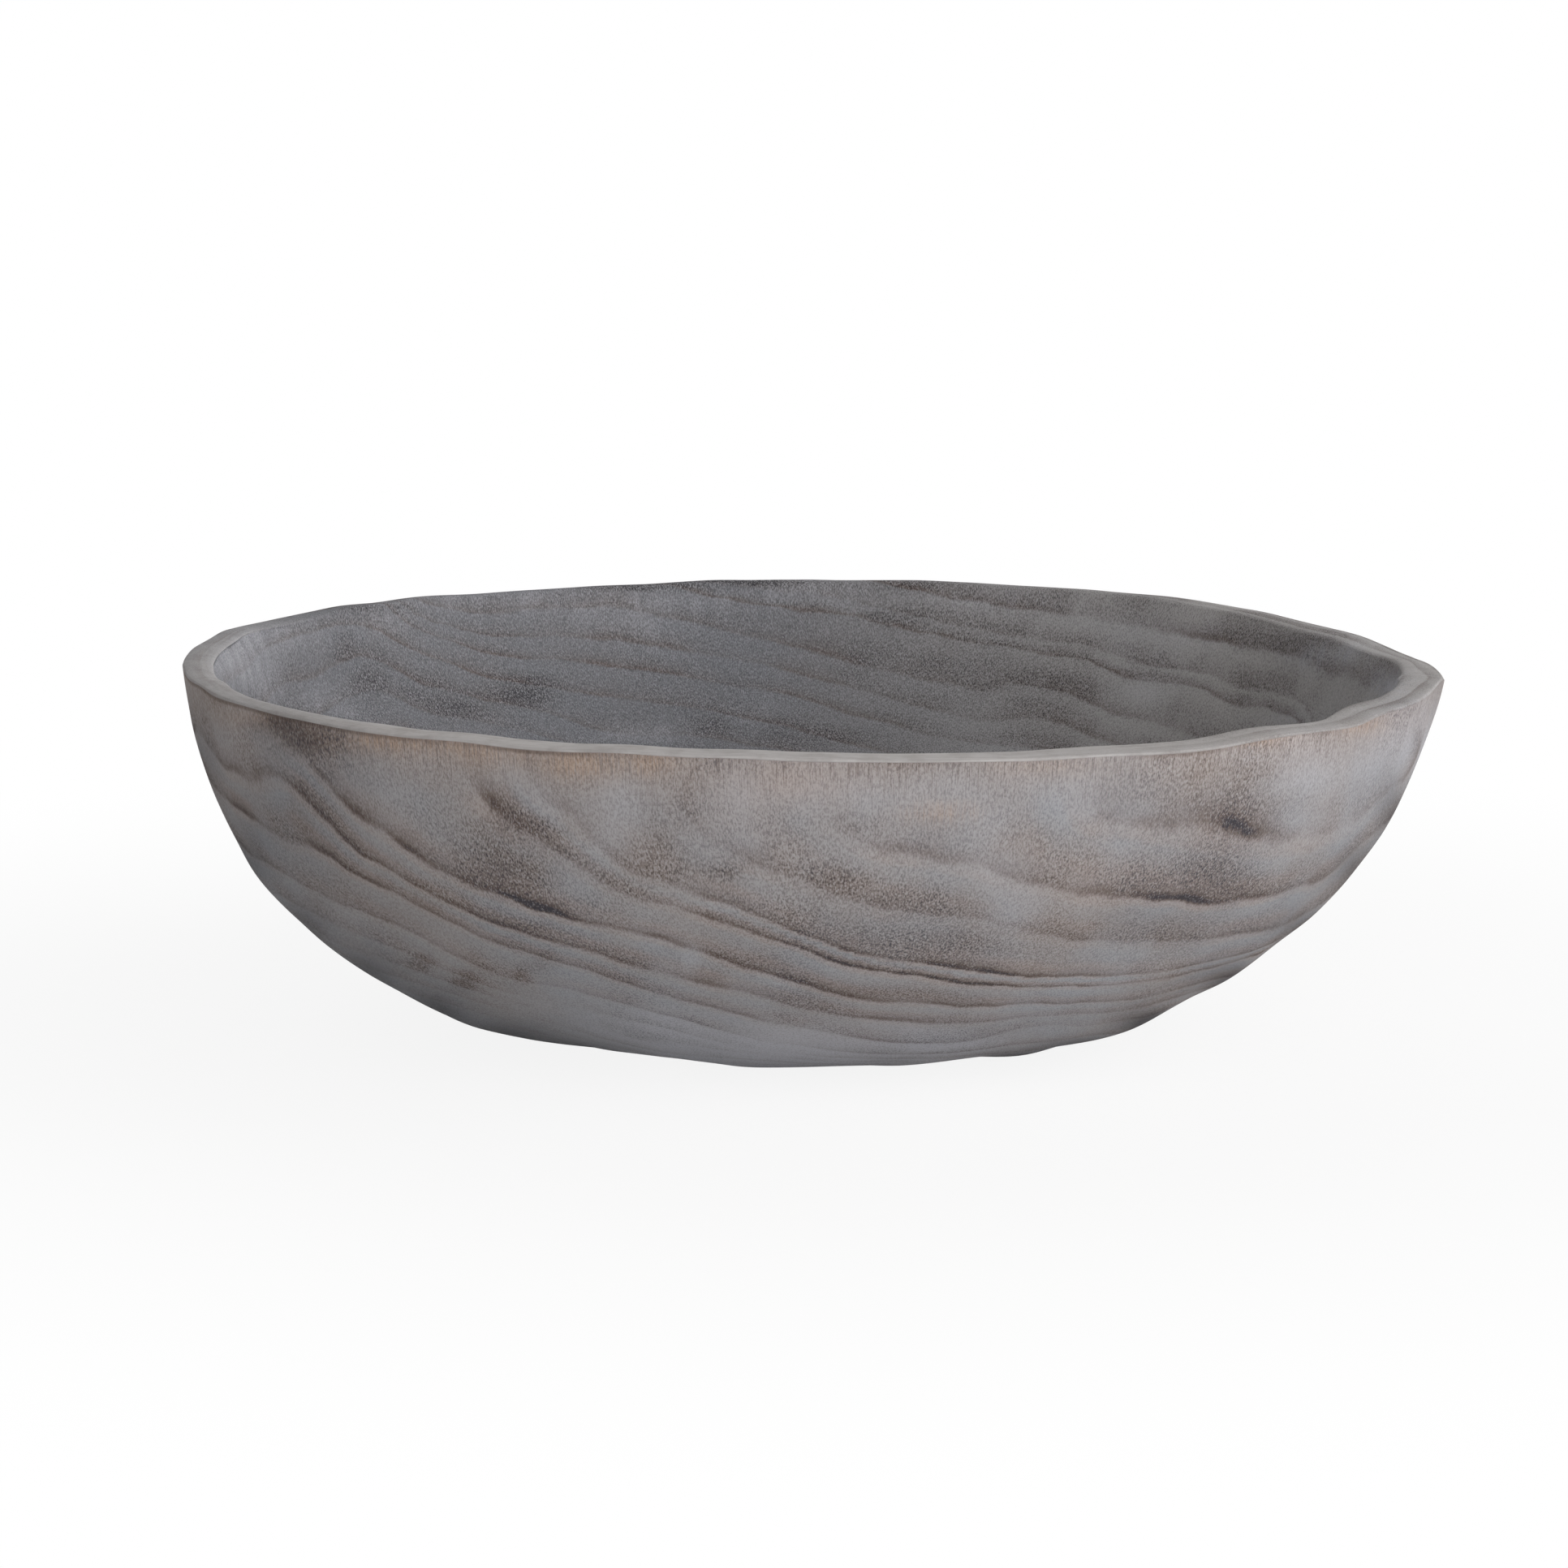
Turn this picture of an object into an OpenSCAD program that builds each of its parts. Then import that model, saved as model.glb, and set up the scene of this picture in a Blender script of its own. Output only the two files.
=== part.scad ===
// A round dough bowl, hewn by hand from one block of pale, coarse-pored wood.
// Millimetres, +Z up. The origin lies on the table, under the middle of the rim.

/* [Bowl] */
// Diameter across the outside of the rim
rim_d = 432; // [240:1:600]
// Height of the rim's outer edge above the table
height = 124; // [70:1:200]
// Diameter of the flat foot
foot_d = 158; // [80:1:220]
// Thickness of the wood at the rim
rim_wall = 12; // [6:0.5:20]
// Thickness of the wood under the middle of the hollow
floor_wall = 17; // [8:0.5:28]
// Rounding of the two edges of the rim
rim_edge = 2; // [0.5:0.1:2.8]

/* [Hand shaping] */
// How far the foot sits to the left of the rim's middle
foot_shift = 5.5; // [0:0.1:12]
// How far the hollow sits to the left of the outside at the rim
hollow_shift = 1.5; // [0:0.1:3]
// How far the rim's highest side stands above its mean height
rim_tilt = 2.5; // [0:0.1:6]
// Direction of the rim's highest side, in degrees from +X towards +Y
rim_high_side = 146; // [0:1:359]
// How far the rim bends up and down over its two diagonals
rim_warp = 1; // [0:0.1:4]
// Depth of the deepest hollow that the adze left in the surface
hewn_depth = 2; // [0:0.1:4]
// How far the underside bulged before the foot was planed flat
foot_crown = 3; // [1:0.1:6]

/* [Hidden] */

// Counts of the steps around the bowl and along its section
around = 72;
outer_steps = 20;
inner_steps = 16;
floor_steps = 4;
edge_steps = 3;

wood_colour = [0.58, 0.55, 0.53];

rim_r = rim_d / 2;
foot_r = foot_d / 2;
belly_reach = rim_r - foot_r;

// The outside's section is one curve from the foot's edge to the rim.
// Its two handles are shares of how far the belly reaches out and up.
foot_handle_share = [0.49, 0.04];
rim_handle_share = [0.08, 0.64];
foot_point = [foot_r, 0];
rim_point = [rim_r, height];
foot_handle = foot_point + [belly_reach * foot_handle_share.x, height * foot_handle_share.y];
rim_handle = rim_point - [belly_reach * rim_handle_share.x, height * rim_handle_share.y];

// Below the foot's edge the uncut block narrows to this share of the foot's radius
crown_share = 0.75;
// The wall's curved rings stop this share of the curve short of the planed foot and of the rim
end_share = 0.02;
// The wall keeps its rim thickness for longer than a straight taper would
wall_taper_power = 0.8;
// The rim's tilt and warp fade towards the foot by this power of the height
lift_power = 3;

// Swellings and hollows of the outside, each as its direction in degrees, its height as a
// share of the bowl's, its half width in degrees and in height shares, and its share of the depth.
outer_mark_shares = [
    [205, 0.07, 22, 0.10, 0.6],
    [240, 0.08, 20, 0.14, -0.7],
    [268, 0.62, 26, 0.20, 0.5],
    [315, 0.10, 26, 0.12, 1.0],
    [348, 0.24, 18, 0.14, -0.9],
    [222, 0.48, 18, 0.18, -0.6],
    [302, 0.45, 14, 0.16, -0.8],
    [330, 0.62, 20, 0.18, 0.6],
    [20, 0.40, 24, 0.20, 0.7],
    [62, 0.22, 20, 0.16, -0.9],
    [95, 0.55, 26, 0.20, 0.6],
    [128, 0.20, 22, 0.16, 0.8],
    [160, 0.50, 20, 0.20, -0.7],
];

// The same for the hollow
inner_mark_shares = [
    [40, 0.55, 20, 0.20, -0.7],
    [75, 0.70, 18, 0.16, 0.6],
    [110, 0.50, 22, 0.20, -0.8],
    [150, 0.62, 18, 0.18, 0.7],
    [200, 0.45, 24, 0.20, -0.6],
    [250, 0.60, 22, 0.20, 0.7],
    [295, 0.48, 20, 0.18, -0.8],
    [340, 0.65, 24, 0.18, 0.6],
];

// A point of a curve with four control points, at share t of the way, and its direction there
function curve_point(a, b, c, d, t) =
    a * pow(1 - t, 3) + b * 3 * t * pow(1 - t, 2) + c * 3 * t * t * (1 - t) + d * pow(t, 3);
function curve_slope(a, b, c, d, t) =
    (b - a) * pow(1 - t, 2) + (c - b) * 2 * t * (1 - t) + (d - c) * t * t;
function unit(v) = v / norm(v);
// The direction square to v, into the wood
function inward(v) = [-v.y, v.x];

function outer_point(t) = curve_point(foot_point, foot_handle, rim_handle, rim_point, t);
function outer_along(t) = unit(curve_slope(foot_point, foot_handle, rim_handle, rim_point, t));
function wall_at(t) = floor_wall + (rim_wall - floor_wall) * pow(t, wall_taper_power);
function inner_point(t) = outer_point(t) + inward(outer_along(t)) * wall_at(t);

// The rim is cut square to the wall, with its two edges rounded
rim_along = outer_along(1);
rim_across = inward(rim_along);
function rim_place(across, below) = rim_point + rim_across * across - rim_along * below;

// Each ring of the section: its place as radius and height, the way out of the wood there,
// and how far through the wall it lies, from 0 on the outside to 1 in the hollow
function outer_ring(t) = [outer_point(t), -inward(outer_along(t)), 0];
function rim_ring(across, below) = [rim_place(across, below), rim_along, across / rim_wall];
function inner_ring(t) = [inner_point(t), inward(outer_along(t)), 1];
function floor_ring(share) = [[inner_point(0).x * share, inner_point(0).y], [0, 1], 1];

crown_rings = [[[foot_r * crown_share, -foot_crown], [0, 0], 0]];
outer_rings = [
    for (k = [0 : outer_steps])
        outer_ring(end_share + (1 - 2 * end_share) * k / outer_steps)
];
outer_edge_rings = [
    for (turn = [0 : 90 / edge_steps : 90])
        rim_ring(rim_edge * (1 - cos(turn)), rim_edge * (1 - sin(turn)))
];
inner_edge_rings = [
    for (turn = [0 : 90 / edge_steps : 90])
        rim_ring(rim_wall - rim_edge * (1 - sin(turn)), rim_edge * (1 - cos(turn)))
];
inner_rings = [for (k = [inner_steps : -1 : 0]) inner_ring((1 - end_share) * k / inner_steps)];
floor_rings = [for (k = [floor_steps - 1 : -1 : 1]) floor_ring(k / floor_steps)];
rings = concat(crown_rings, outer_rings, outer_edge_rings, inner_edge_rings, inner_rings, floor_rings);
ring_count = len(rings);

// How far apart two directions are, in degrees
function turn_between(a, b) = abs((a - b + 540) % 360 - 180);
// A smooth bump, 1 in its middle and 0 from its half width on
function bump(away) = away < 1 ? pow(1 - away * away, 2) : 0;
function mark(m, direction, rise) =
    m[4] * bump(norm([turn_between(direction, m[0]) / m[2], (rise - m[1]) / m[3]]));
function marks(list, direction, rise) =
    hewn_depth * ([for (m = list) mark(m, direction, rise)] * [for (m = list) 1]);

// Where a ring stands in one direction, with the marks of hand work on it
function lift(direction) =
    rim_tilt * cos(direction - rim_high_side) + rim_warp * sin(2 * direction);
function ring_point(ring, direction) =
    let (
        through = ring[2],
        rise = max(ring[0].y, 0) / height,
        hewn = marks(through < 1 ? outer_mark_shares : inner_mark_shares, direction, rise),
        place = ring[0] + ring[1] * hewn,
        left = foot_shift * (1 - rise) + hollow_shift * rise * through
    )
    [
        place.x * cos(direction) - left,
        place.x * sin(direction),
        place.y + lift(direction) * pow(rise, lift_power)
    ];

ring_points = [
    for (ring = rings)
        for (j = [0 : around - 1])
            ring_point(ring, 360 * j / around)
];
crown_middle = [-foot_shift, 0, -foot_crown];
floor_middle = [-foot_shift, 0, inner_point(0).y];

// The faces go clockwise, seen from outside the wood
function at(i, j) = i * around + j % around;
crown_index = ring_count * around;
floor_index = crown_index + 1;
rising_faces = [
    for (i = [0 : ring_count - 2])
        for (j = [0 : around - 1])
            [at(i, j), at(i + 1, j), at(i + 1, j + 1)]
];
falling_faces = [
    for (i = [0 : ring_count - 2])
        for (j = [0 : around - 1])
            [at(i, j), at(i + 1, j + 1), at(i, j + 1)]
];
crown_faces = [for (j = [0 : around - 1]) [crown_index, at(0, j), at(0, j + 1)]];
floor_faces = [
    for (j = [0 : around - 1])
        [floor_index, at(ring_count - 1, j + 1), at(ring_count - 1, j)]
];

module hewn_block() {
    polyhedron(
        points = concat(ring_points, [crown_middle, floor_middle]),
        faces = concat(rising_faces, falling_faces, crown_faces, floor_faces)
    );
}

// The one piece: the hewn block with its foot planed flat
module bowl() {
    color(wood_colour)
    difference() {
        hewn_block();
        translate([0, 0, -2 * foot_crown]) cylinder(r = rim_r, h = 2 * foot_crown, $fn = around);
    }
}

bowl();
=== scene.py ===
"""A round dough bowl, hewn by hand from one block of grey-washed wood, under soft light.

Shapes are worked out in millimetres, and the mesh is written in metres in the CAD's frame.
"""

import math

import bpy
import numpy as np
from mathutils import Color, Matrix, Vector, noise
from mathutils.bvhtree import BVHTree


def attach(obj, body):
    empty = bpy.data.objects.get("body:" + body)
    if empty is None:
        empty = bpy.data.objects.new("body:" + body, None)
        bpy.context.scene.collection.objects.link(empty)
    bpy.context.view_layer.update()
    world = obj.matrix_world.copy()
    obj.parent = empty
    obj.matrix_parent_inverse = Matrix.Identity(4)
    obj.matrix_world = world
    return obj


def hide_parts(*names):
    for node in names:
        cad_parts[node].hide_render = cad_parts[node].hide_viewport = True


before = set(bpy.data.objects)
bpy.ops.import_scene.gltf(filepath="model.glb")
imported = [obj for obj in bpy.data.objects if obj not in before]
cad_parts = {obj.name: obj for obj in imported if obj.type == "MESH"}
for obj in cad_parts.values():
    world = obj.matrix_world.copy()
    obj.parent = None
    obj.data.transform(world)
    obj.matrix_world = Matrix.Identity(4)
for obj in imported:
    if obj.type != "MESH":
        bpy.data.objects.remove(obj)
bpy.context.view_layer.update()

MM = 0.001

# The bowl's sizes, as in the CAD
RIM_R = 216.0
HEIGHT = 124.0
FOOT_R = 79.0
RIM_WALL = 12.0
FLOOR_WALL = 17.0
FOOT_SHIFT = 5.5
HOLLOW_SHIFT = 1.5
RIM_TILT = 2.5
RIM_HIGH_SIDE = 146.0
RIM_WARP = 1.0
HEWN_DEPTH = 2.0
FOOT_HANDLE_SHARES = (0.49, 0.04)
RIM_HANDLE_SHARES = (0.08, 0.64)
WALL_TAPER_POWER = 0.8
LIFT_POWER = 3

# Swellings and hollows, as in the CAD: direction in degrees, height share, half width in
# degrees and in height shares, and share of the depth
OUTER_MARK_SHARES = [
    (205, 0.07, 22, 0.10, 0.6),
    (240, 0.08, 20, 0.14, -0.7),
    (268, 0.62, 26, 0.20, 0.5),
    (315, 0.10, 26, 0.12, 1.0),
    (348, 0.24, 18, 0.14, -0.9),
    (222, 0.48, 18, 0.18, -0.6),
    (302, 0.45, 14, 0.16, -0.8),
    (330, 0.62, 20, 0.18, 0.6),
    (20, 0.40, 24, 0.20, 0.7),
    (62, 0.22, 20, 0.16, -0.9),
    (95, 0.55, 26, 0.20, 0.6),
    (128, 0.20, 22, 0.16, 0.8),
    (160, 0.50, 20, 0.20, -0.7),
]
INNER_MARK_SHARES = [
    (40, 0.55, 20, 0.20, -0.7),
    (75, 0.70, 18, 0.16, 0.6),
    (110, 0.50, 22, 0.20, -0.8),
    (150, 0.62, 18, 0.18, 0.7),
    (200, 0.45, 24, 0.20, -0.6),
    (250, 0.60, 22, 0.20, 0.7),
    (295, 0.48, 20, 0.18, -0.8),
    (340, 0.65, 24, 0.18, 0.6),
]

# Finer hand work: the rounding of the rim's two edges
OUTER_EDGE = 0.8
INNER_EDGE = 2.2
# The rim's outer edge in the photograph, in pixels: in front, then behind
RIM_FRONT = [
    (225, 820), (226, 830), (233, 839), (247, 846), (259, 856), (280, 864), (340, 881), (420, 898),
    (500, 909.5), (560, 913), (640, 923), (700, 927), (760, 927.5), (840, 933), (920, 934.5), (980, 938),
    (1120, 940), (1280, 937.5), (1360, 932), (1440, 929.5), (1500, 923.5), (1560, 911), (1600, 905),
    (1655, 899), (1680, 894), (1692, 885), (1715, 877), (1745, 868), (1764, 854), (1771, 846), (1778, 838),
]
RIM_BACK = [
    (229, 807), (235, 798), (240, 796), (272, 778), (300, 771), (412, 747), (460, 743), (500, 736),
    (560, 734), (640, 728), (720, 723), (800, 719.5), (880, 714.5), (960, 714.5), (1120, 715), (1200, 718),
    (1320, 725), (1440, 734.5), (1480, 740.5), (1560, 754), (1660, 779), (1680, 783), (1740, 809),
    (1760, 817), (1768, 823),
]
# In front, the rounded edge is seen this far below the corner that it cuts
EDGE_BELOW_PX = 2.5
RIM_FIT_PASSES = 5
# Nearer to its two ends than this share of the radius, the rim is seen too steeply to follow
RIM_END_SHARE = 0.1
# The rim's departures from the CAD fade towards the foot by this power of the height
RIM_LIFT_POWER = 6
# How far the rim's inner edge is worn down, by direction, and how wide the wear is
EDGE_WEARS = [
    (0, 1.0), (12, 0.8), (30, 1.6), (42, 1.2), (55, 0.3), (70, 0.0), (130, 0.0), (145, 0.8), (155, 1.8),
    (175, 2.6), (195, 2.4), (204, 1.2), (215, 0.9), (285, 0.8), (295, 0.4), (310, 0.2), (330, 0.4),
    (345, 0.8), (360, 1.0),
]
EDGE_WEAR_WIDTH = 5.0
# How pale the top of the rim is, by direction: scraped paler, and with painted light from above
RIM_TONES = [
    (0, 0.4), (12, 0.25), (22, 0.08), (32, 0.0), (44, 0.0), (150, 0.0), (166, 0.3), (180, 0.5), (202, 0.65),
    (220, 0.75), (232, 1.0), (285, 1.0), (300, 0.7), (316, 0.48), (326, 0.22), (342, 0.38), (360, 0.4),
]
# How dark the line under the rim's outer edge is, by direction: dirt, and painted shadow under the edge
EDGE_DIRT_AND_SHADOW = [
    (0, 0.1), (170, 0.3), (178, 0.6), (228, 0.6), (234, 0.4), (240, 0.15), (244, 0.7), (250, 0.5),
    (254, 0.1), (296, 0.0), (299, 0.4), (306, 0.35), (309, 0.0), (360, 0.1),
]
# Smaller swellings and hollows low on the outside: as those in the CAD, with the depth in millimetres
LOW_MARKS = [
    (198, 0.45, 14, 0.12, 0.8), (218, 0.13, 9, 0.07, 1.0), (228, 0.06, 9, 0.06, -0.8),
    (252, 0.02, 8, 0.05, -1.5), (292, 0.04, 10, 0.06, 0.9), (308, 0.06, 6, 0.05, 0.8),
    (322, 0.12, 12, 0.10, 1.3), (335, 0.22, 12, 0.10, 0.9),
]
# Where the rim is wider or narrower at its inner edge: direction, half width, and width
RIM_WIDTHS = [
    (180, 24, 2.4), (214, 16, -3.6), (232, 12, 0.6), (262, 18, -1.0), (300, 14, 1.2), (320, 9, -1.6),
    (331, 12, 1.8), (352, 10, 2.6), (8, 7, -2.0), (24, 12, 1.6), (60, 14, -1.2), (90, 16, 1.2),
    (128, 18, -1.4), (155, 10, 1.5),
]
# That width fades down the hollow over this depth
RIM_WIDTH_DEPTH = 22.0

# The flats that the scraper left, in rows: how far apart and how deep they are, how sharp the ridges
# between them, the fewest in a row, and how far each strays as a share of the spacing
FLAT_SPACING = 38.0
FLAT_DEPTH = 0.5
FLAT_SHARPNESS = 7.0
FLAT_FEWEST = 3
FLAT_STRAY = 0.3
SEED = 7
# A flat rises to its ridge at this squared share of the spacing, by no more than this share of the
# depth, from a middle sunk by this share. The tiny value keeps the logarithm finite.
FLAT_RIDGE_AT = 0.25
FLAT_RIDGE_MOST = 1.2
FLAT_SUNK = 0.5
TINY = 1e-9
# Fine lumps, and how much of the lumps and flats the rim's top shows
LUMP_SIZE = 14.0
LUMP_DEPTH = 0.16
RIM_FINE_SHARE = 0.4

# Counts of the steps around the bowl, over which its corners are softened, and along its section
AROUND = 480
CORNER_STEPS = 2
FOOT_STEPS = 12
OUTER_STEPS = 78
EDGE_STEPS = 6
TOP_STEPS = 8
INNER_STEPS = 66
FLOOR_STEPS = 18
# From this share of the way through the wall, a point belongs to the hollow's side
HOLLOW_FROM = 0.5
# Two discs of this radius fit corner to corner in a unit square
DISC_RADIUS = 0.29

# The camera that took the photograph
FRAME_PX = 1932
LENS_MM = 120.0
SENSOR_MM = 36.0
CAMERA_DISTANCE = 1809.3
CAMERA_ELEVATION = 9.315
CAMERA_AIM = (-9.9, 0.0, 80.85)

# The pith, round which the growth rings lie: its place at the table and its lean by height
PITH = (-42.0, 24.0)
PITH_LEAN = (0.2, -0.2)
# Each ring's distance from the pith, and how dark its line is on the outside and in the hollow
RINGS = [
    (9, 0.30, 0.30), (20, 0.35, 0.30), (31, 0.30, 0.25), (43, 0.40, 0.30), (54, 0.35, 0.25),
    (66, 0.35, 0.30), (77, 0.30, 0.25), (88, 0.30, 0.30), (99, 0.25, 0.25), (109, 0.20, 0.25),
    (119, 0.15, 0.30), (129, 0.15, 0.25), (138, 0.12, 0.25), (148, 0.20, 0.30), (157.5, 0.35, 0.30),
    (165, 0.10, 0.25), (172, 0.20, 0.45), (179.5, 0.55, 0.50), (188, 0.80, 0.50), (193.5, 0.85, 0.45),
    (199, 0.90, 0.45), (206, 0.90, 0.65), (208.5, 0.90, 0.05), (215, 0.55, 0.65), (222, 0.75, 0.30),
    (228, 0.65, 0.30), (234, 0.35, 0.25), (241, 0.30, 0.25),
]
# A line's soft width below and above its ring, which narrows where rings crowd
LINE_BELOW = 1.6
LINE_ABOVE = 2.4
LINE_BELOW_COUNT = 0.2
LINE_ABOVE_COUNT = 0.3
CROWDED_SHARE = 0.4

# Where the lines of some rings run in the photograph, in pixels: outside, then in the hollow
OUTSIDE_LINES = {
    199: [(329, 883), (361, 919), (405, 961), (419, 982), (440, 999), (483, 1028), (508, 1049), (577, 1084),
          (648, 1113), (735, 1138), (802, 1151), (856, 1167), (939, 1197), (1055, 1232), (1200, 1239),
          (1417, 1230)],
    193.5: [(251, 908), (272, 940), (300, 956), (331, 951), (352, 956), (373, 978), (415, 1022), (432, 1043),
            (478, 1071), (524, 1100), (606, 1138), (677, 1163), (743, 1176), (802, 1195), (910, 1217),
            (978, 1237), (1111, 1258), (1228, 1260)],
    188: [(262, 965), (293, 995), (344, 1027), (365, 1039), (382, 1038), (403, 1047), (440, 1077),
          (483, 1098), (593, 1151), (677, 1176), (743, 1201), (822, 1228), (952, 1260), (1078, 1283),
          (1177, 1286)],
    179.5: [(305, 1049), (395, 1101), (498, 1143), (611, 1202), (720, 1222), (859, 1260)],
    157.5: [(450, 1191), (579, 1231), (780, 1290)],
    206: [(598, 962), (617, 998), (692, 1046), (780, 1101), (892, 1132), (1045, 1185), (1200, 1210),
          (1361, 1215), (1481, 1195), (1550, 1175)],
    208.5: [(707, 1006), (746, 1056), (813, 1089), (919, 1122), (1055, 1179), (1200, 1197), (1272, 1207),
            (1441, 1199)],
    215: [(879, 1039), (998, 1084), (1088, 1117), (1240, 1137), (1353, 1159), (1377, 1153), (1457, 1161),
          (1582, 1141), (1614, 1121)],
    222: [(1045, 1033), (1200, 1061), (1244, 1071), (1277, 1093), (1401, 1103), (1514, 1113), (1634, 1081),
          (1710, 1005)],
    228: [(1361, 992), (1481, 1009), (1554, 1033), (1582, 1021), (1622, 1019), (1722, 980)],
}
HOLLOW_LINES = {
    199: [(780, 747), (910, 777), (1000, 799), (1080, 824), (1200, 847)],
    206: [(840, 727), (960, 748), (1060, 757), (1200, 788), (1340, 810), (1380, 831), (1480, 843),
          (1510, 862), (1600, 877)],
    215: [(1080, 718), (1200, 742), (1360, 762), (1500, 787), (1620, 812), (1700, 838)],
    193.5: [(514, 765), (590, 781), (640, 781), (700, 781), (749, 786), (785, 788), (838, 800)],
    188: [(590, 809), (668, 813), (691, 811), (712, 818), (801, 823), (838, 832), (900, 840)],
    179.5: [(480, 785), (590, 825), (686, 848), (760, 858), (860, 870)],
    172: [(480, 816), (505, 834), (533, 848), (608, 864), (663, 875), (710, 887), (732, 900), (801, 907)],
}
# How finely those lines are followed, and how far they pull the rings with them, pass by pass
LINE_STEP_PX = 10.0
LINE_PULLS = (60.0, 30.0, 15.0, 9.0, 7.0)
LINE_PULL_FLOOR = 0.15

# Spots in the photograph fade out over this turn beyond the outline and this depth behind the rim
FACING_FADE = 0.4
RIM_FADE_PX = 20.0
# Spots in the photograph, in pixels: middle, half width, half height, and strength
DARK_SPOTS = [
    (635, 1075, 55, 26, 1.1), (900, 1072, 26, 10, 1.2), (880, 1058, 50, 25, 0.4), (835, 990, 40, 40, 0.3),
    (1030, 1082, 36, 14, 0.5), (1035, 1100, 40, 20, 0.2), (1175, 1115, 40, 18, 0.25),
    (600, 1040, 40, 30, 0.35), (680, 1160, 40, 25, 0.3), (1290, 1172, 50, 16, 0.3),
    (1505, 1035, 36, 18, 0.4), (1450, 1150, 50, 18, 0.3), (1535, 1002, 48, 24, 0.7),
    (1475, 972, 60, 18, 0.1), (1558, 955, 26, 8, 0.35), (1500, 1078, 38, 24, 0.7),
    (1440, 1085, 50, 14, 0.3), (1195, 1155, 40, 16, 0.5), (625, 985, 20, 22, 0.4), (519, 1187, 12, 9, 1.4),
    (573, 1209, 16, 10, 1.6), (641, 1203, 8, 9, 0.9), (672, 1180, 9, 7, 0.6), (345, 890, 30, 12, 2.0),
    (385, 910, 36, 18, 2.0), (1480, 1130, 60, 16, 0.3), (1120, 1155, 120, 26, 0.3),
    (1130, 1222, 110, 10, 0.5), (400, 1010, 50, 24, 0.2), (555, 862, 30, 14, 0.6), (455, 838, 24, 26, 0.8),
    (645, 852, 34, 15, 1.8), (880, 892, 22, 13, 0.6), (1010, 908, 66, 11, 0.6), (425, 795, 12, 16, 0.7),
    (960, 893, 22, 9, 0.4), (1104, 762, 30, 7, 1.2), (1590, 790, 50, 13, 0.3), (1290, 843, 70, 15, 0.3),
    (1080, 800, 60, 30, 0.25), (570, 875, 30, 12, 0.8), (350, 845, 30, 20, 0.3), (515, 850, 30, 16, 0.5),
    (470, 1130, 60, 30, 0.15), (1490, 1055, 50, 26, 0.7), (630, 1035, 40, 30, 0.6),
    (825, 1000, 30, 50, 0.6), (1090, 1125, 90, 32, 0.35), (650, 1140, 30, 14, 0.5),
    (650, 1020, 30, 14, 0.6), (1505, 1070, 30, 40, 0.5), (1040, 1030, 20, 40, 0.4), (665, 1190, 20, 8, 0.5),
    (1030, 943, 20, 8, 0.4), (620, 1013, 28, 12, 0.5), (1450, 1162, 36, 10, 0.5), (1515, 1108, 18, 10, 0.6),
    (1280, 1085, 28, 9, 0.4), (1670, 970, 24, 30, 0.25), (800, 975, 16, 40, 0.3), (1055, 825, 20, 14, 0.4),
    (1155, 818, 24, 12, 0.4), (1205, 855, 30, 8, 0.4), (1235, 815, 44, 40, 0.25), (800, 722, 60, 5, 1.5),
    (920, 717, 60, 4, 1.5), (1110, 721, 50, 5, 0.9), (450, 748, 40, 4, 0.9),
]
# Pale wood where rings don't show; at the bottom and in the hollow's upper right, partly painted light as
# well
PALE_AND_PAINTED_LIGHT_SPOTS = [
    (950, 1290, 110, 22, 0.8), (620, 1250, 160, 40, 0.45), (295, 815, 45, 28, 0.7), (330, 775, 60, 14, 0.3),
    (345, 835, 30, 16, 0.3), (400, 850, 25, 12, 0.3), (1245, 1095, 44, 34, 0.5), (852, 1180, 9, 16, 0.9),
    (1060, 975, 260, 34, 0.8), (770, 1010, 40, 40, 0.5), (1410, 780, 60, 20, 0.6), (1410, 845, 40, 12, 0.5),
    (1680, 950, 50, 60, 0.8), (1600, 955, 50, 50, 0.8), (780, 970, 50, 26, 0.4), (1070, 1035, 50, 16, 0.5),
    (930, 1035, 50, 22, 0.4), (1215, 1035, 34, 20, 0.4), (1437, 968, 50, 18, 0.4), (630, 955, 30, 16, 0.5),
    (980, 1060, 30, 16, 0.3), (915, 975, 24, 44, 0.5), (437, 1127, 40, 20, 0.3), (700, 1095, 24, 20, 0.4),
    (455, 975, 40, 30, 0.4), (745, 1035, 30, 30, 0.5), (1210, 1055, 34, 18, 0.4), (1245, 1130, 30, 14, 0.5),
    (1600, 1015, 50, 18, 0.6), (665, 972, 30, 14, 0.4), (750, 765, 60, 25, 0.4), (1330, 765, 60, 14, 0.5),
    (1410, 858, 40, 14, 0.6), (480, 1010, 24, 30, 0.4), (672, 990, 24, 16, 0.5), (760, 1130, 40, 14, 0.4),
    (1635, 806, 40, 13, 0.6), (1710, 838, 18, 12, 0.7), (1465, 888, 40, 12, 0.35), (820, 903, 26, 10, 0.4),
    (1260, 918, 40, 8, 0.35), (1260, 950, 40, 20, 0.4), (1225, 1015, 30, 16, 0.4),
    (1400, 1000, 60, 14, 0.5), (1480, 1182, 50, 12, 0.4),
]
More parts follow.
